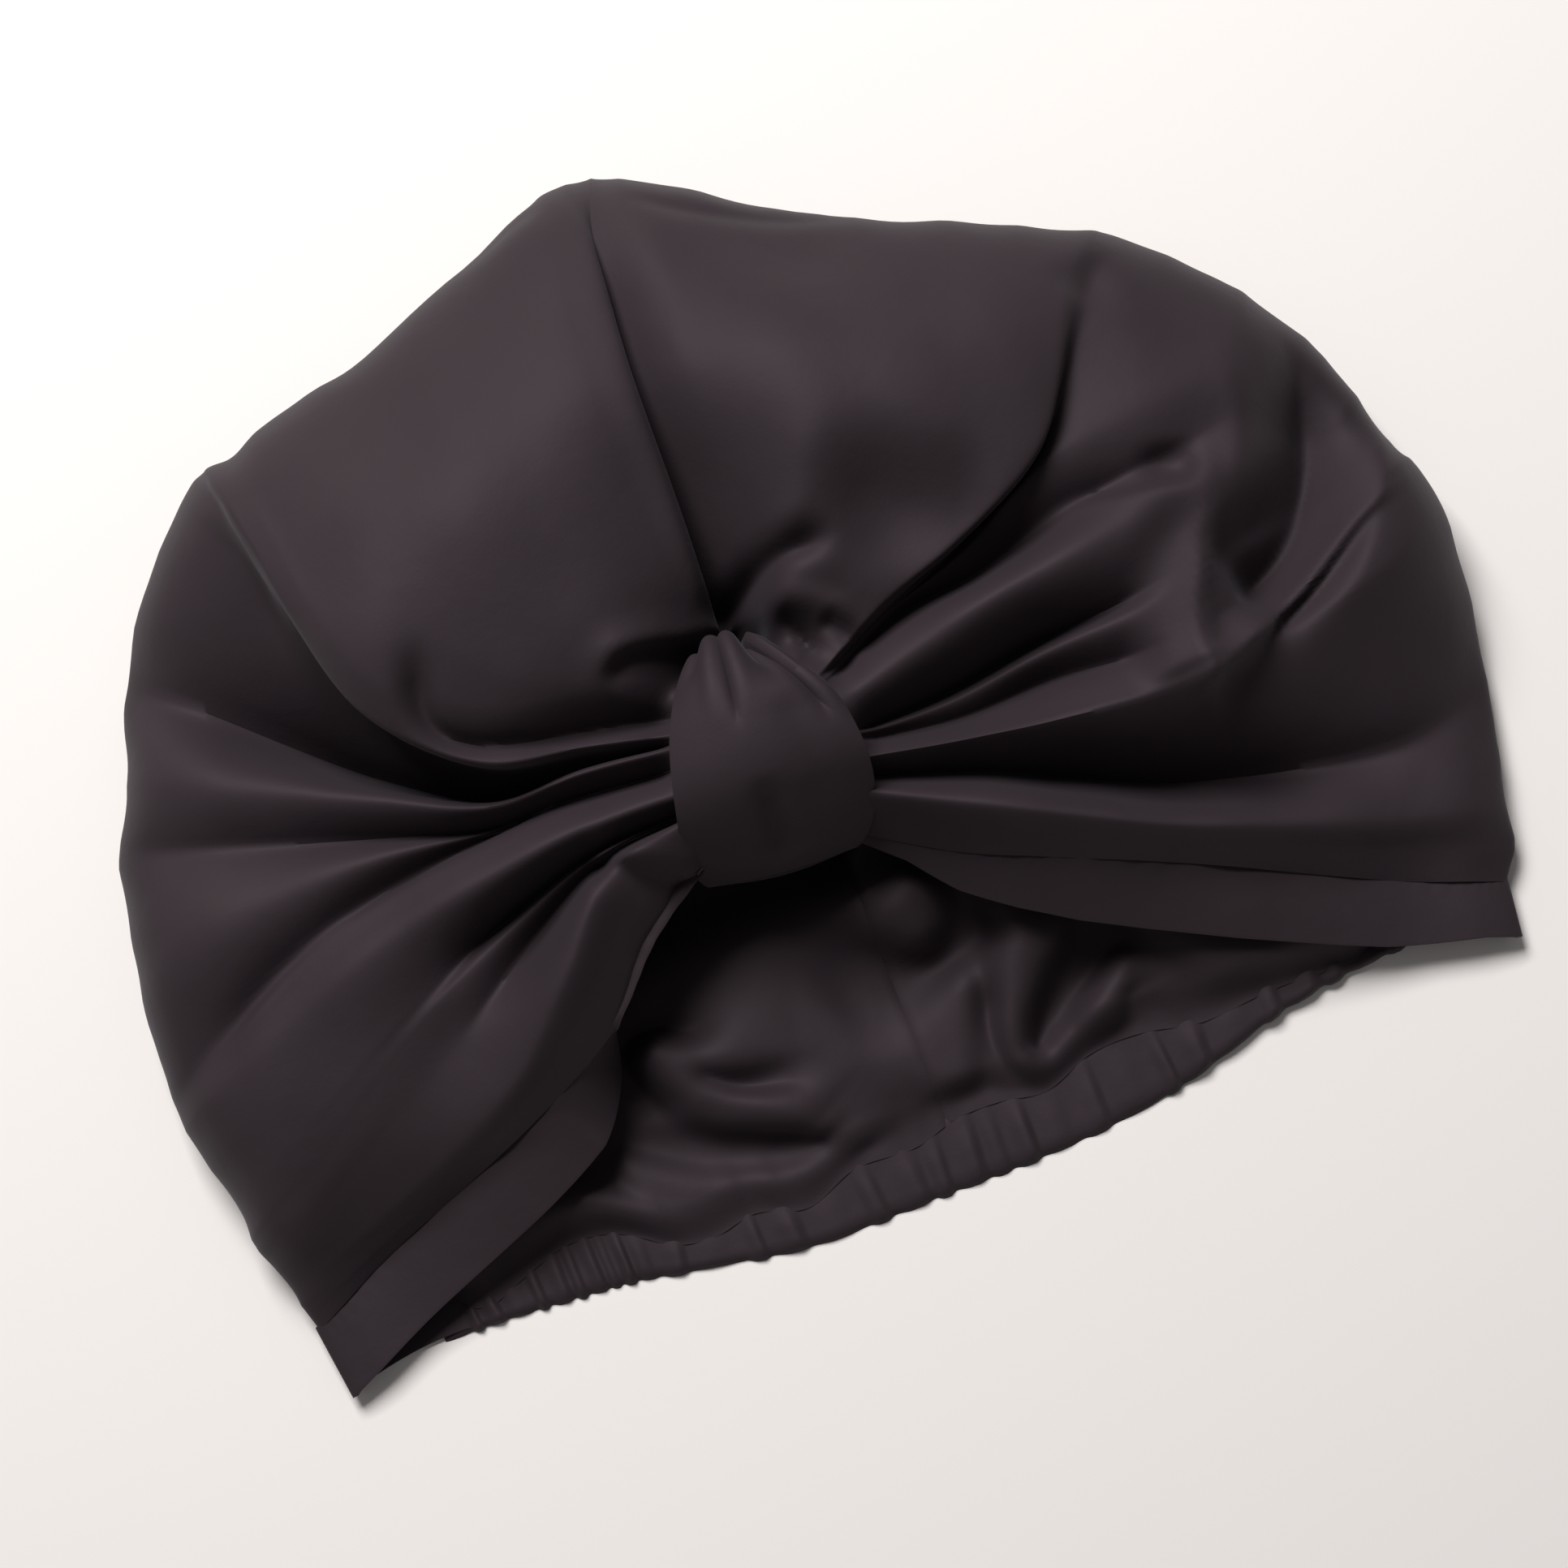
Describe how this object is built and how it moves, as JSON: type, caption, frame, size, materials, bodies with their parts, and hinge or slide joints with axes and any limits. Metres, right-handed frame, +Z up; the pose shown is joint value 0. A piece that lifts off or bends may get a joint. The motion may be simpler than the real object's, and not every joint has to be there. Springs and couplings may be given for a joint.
{
  "type": "silk bonnet",
  "caption": "Satin turban bonnet with a knotted, gathered front, a seamed crown, a stitched hem and an elastic back, lying on its back.",
  "frame": {"origin": "under the middle of the bonnet's box, on the surface that it lies on", "axes": "+Z up, +Y towards the top of the crown, +X along the opening, to the right as the bonnet lies with its front upwards"},
  "size_m": [0.2952, 0.2272, 0.0666],
  "materials": {
    "satin_crown": "black satin",
    "satin_hem": "black satin, doubled and stitched",
    "satin_knot": "black satin, doubled",
    "satin_casing": "black satin, gathered"
  },
  "bodies": {
    "root": {"crown_left": "satin_crown", "crown_right": "satin_crown", "hem_left": "satin_hem", "hem_right": "satin_hem", "knot_strip": "satin_knot", "elastic_casing": "satin_casing"}
  },
  "joints": []
}
